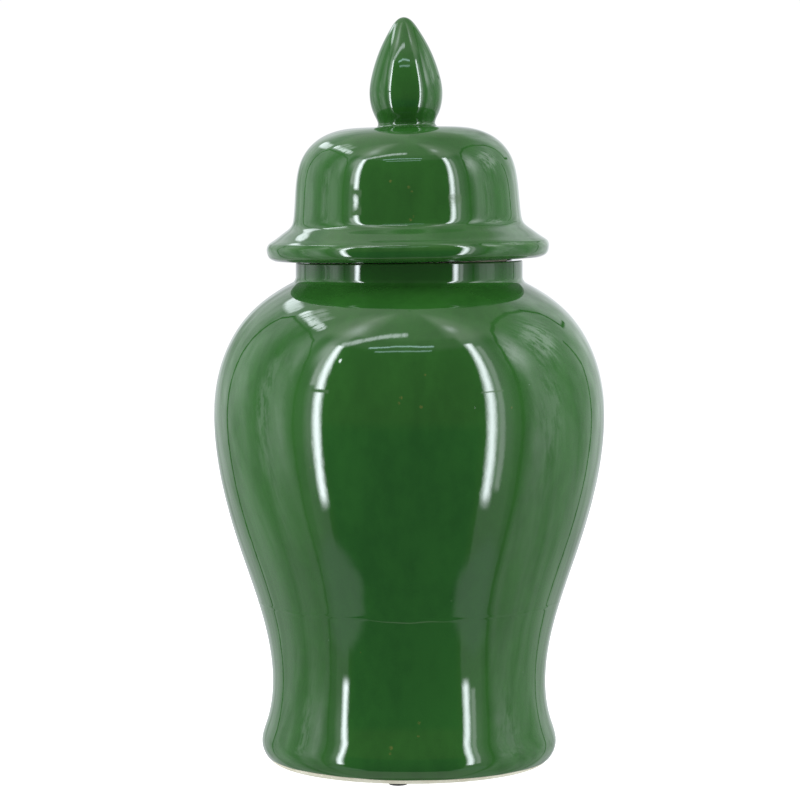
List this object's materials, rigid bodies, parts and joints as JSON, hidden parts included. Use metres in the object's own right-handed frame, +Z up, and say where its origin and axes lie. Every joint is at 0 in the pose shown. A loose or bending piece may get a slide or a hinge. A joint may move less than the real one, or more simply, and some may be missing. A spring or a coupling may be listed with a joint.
{
  "type": "ginger jar",
  "caption": "Tall covered ginger jar with a high-shouldered baluster body, a domed lid that lifts off a short neck, and a flame finial, in glossy green glaze.",
  "frame": {"origin": "centre of the plane that the pads stand on", "axes": "+Z up along the jar's axis, -Y towards the front of the jar"},
  "size_m": [0.2392, 0.2392, 0.4568],
  "materials": {
    "green_glaze": "high gloss",
    "bumper_rubber": "satin"
  },
  "bodies": {
    "jar": {"jar_body": "green_glaze", "base_pad_1": "bumper_rubber", "base_pad_2": "bumper_rubber", "base_pad_3": "bumper_rubber", "base_pad_4": "bumper_rubber"},
    "lid": {"lid_shell": "green_glaze", "finial": "green_glaze"}
  },
  "joints": [
    {"name": "lid_lift", "type": "slide", "parent": "jar", "child": "lid", "axis": [0, 0, 1], "range_m": [0, 0.12]}
  ]
}
